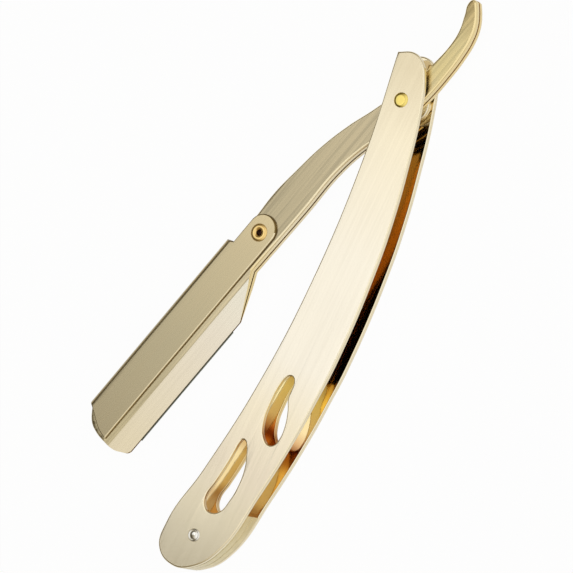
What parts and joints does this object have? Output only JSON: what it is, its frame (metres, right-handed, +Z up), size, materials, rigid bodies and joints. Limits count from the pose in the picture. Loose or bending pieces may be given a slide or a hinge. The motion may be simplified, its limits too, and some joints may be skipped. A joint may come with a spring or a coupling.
{
  "type": "replaceable blade straight razor",
  "caption": "All-metal folding straight razor: arched scales with teardrop windows, and a leaved arm whose pivoting channel lock clamps a replaceable blade.",
  "frame": {"origin": "the crown of the pivot pin's rear head, on the pivot's axis", "axes": "+X from the pivot pin to the end rivet, +Y towards the handle's convex edge, +Z up through the front scale; the razor lies flat on its rear side"},
  "size_m": [0.1595, 0.0605, 0.0088],
  "materials": {
    "scale_metal": "champagne-gold plating, satin faces with polished edges",
    "arm_metal": "champagne-gold plating, satin",
    "lock_metal": "champagne-gold plating, satin",
    "brass": "polished brass",
    "rivet_steel": "polished",
    "blade_steel": "bright stainless steel"
  },
  "bodies": {
    "handle": {"front_scale": "scale_metal", "rear_scale": "scale_metal", "front_end_spacer": "scale_metal", "rear_end_spacer": "scale_metal", "end_rivet": "rivet_steel", "pivot_pin": "brass", "front_pivot_washer": "brass", "rear_pivot_washer": "brass"},
    "arm": {"front_leaf": "arm_metal", "rear_leaf": "arm_metal", "heel_blade_peg": "brass", "toe_blade_peg": "brass", "lock_eyelet": "brass"},
    "lock": {"swing_lock": "lock_metal"},
    "blade": {"razor_blade": "blade_steel"}
  },
  "joints": [
    {"name": "arm_pivot", "type": "hinge", "parent": "handle", "child": "arm", "pos_m": [0, 0, 0.0044], "axis": [0, 0, 1], "range_deg": [-315, 18]},
    {"name": "lock_swing", "type": "hinge", "parent": "arm", "child": "lock", "pos_m": [0.04572, -0.02128, 0.0044], "axis": [0, 0, 1], "range_deg": [-112, 0]},
    {"name": "blade_slide", "type": "slide", "parent": "arm", "child": "blade", "axis": [0.2862, 0.9582, 0], "range_m": [0, 0.02]}
  ]
}
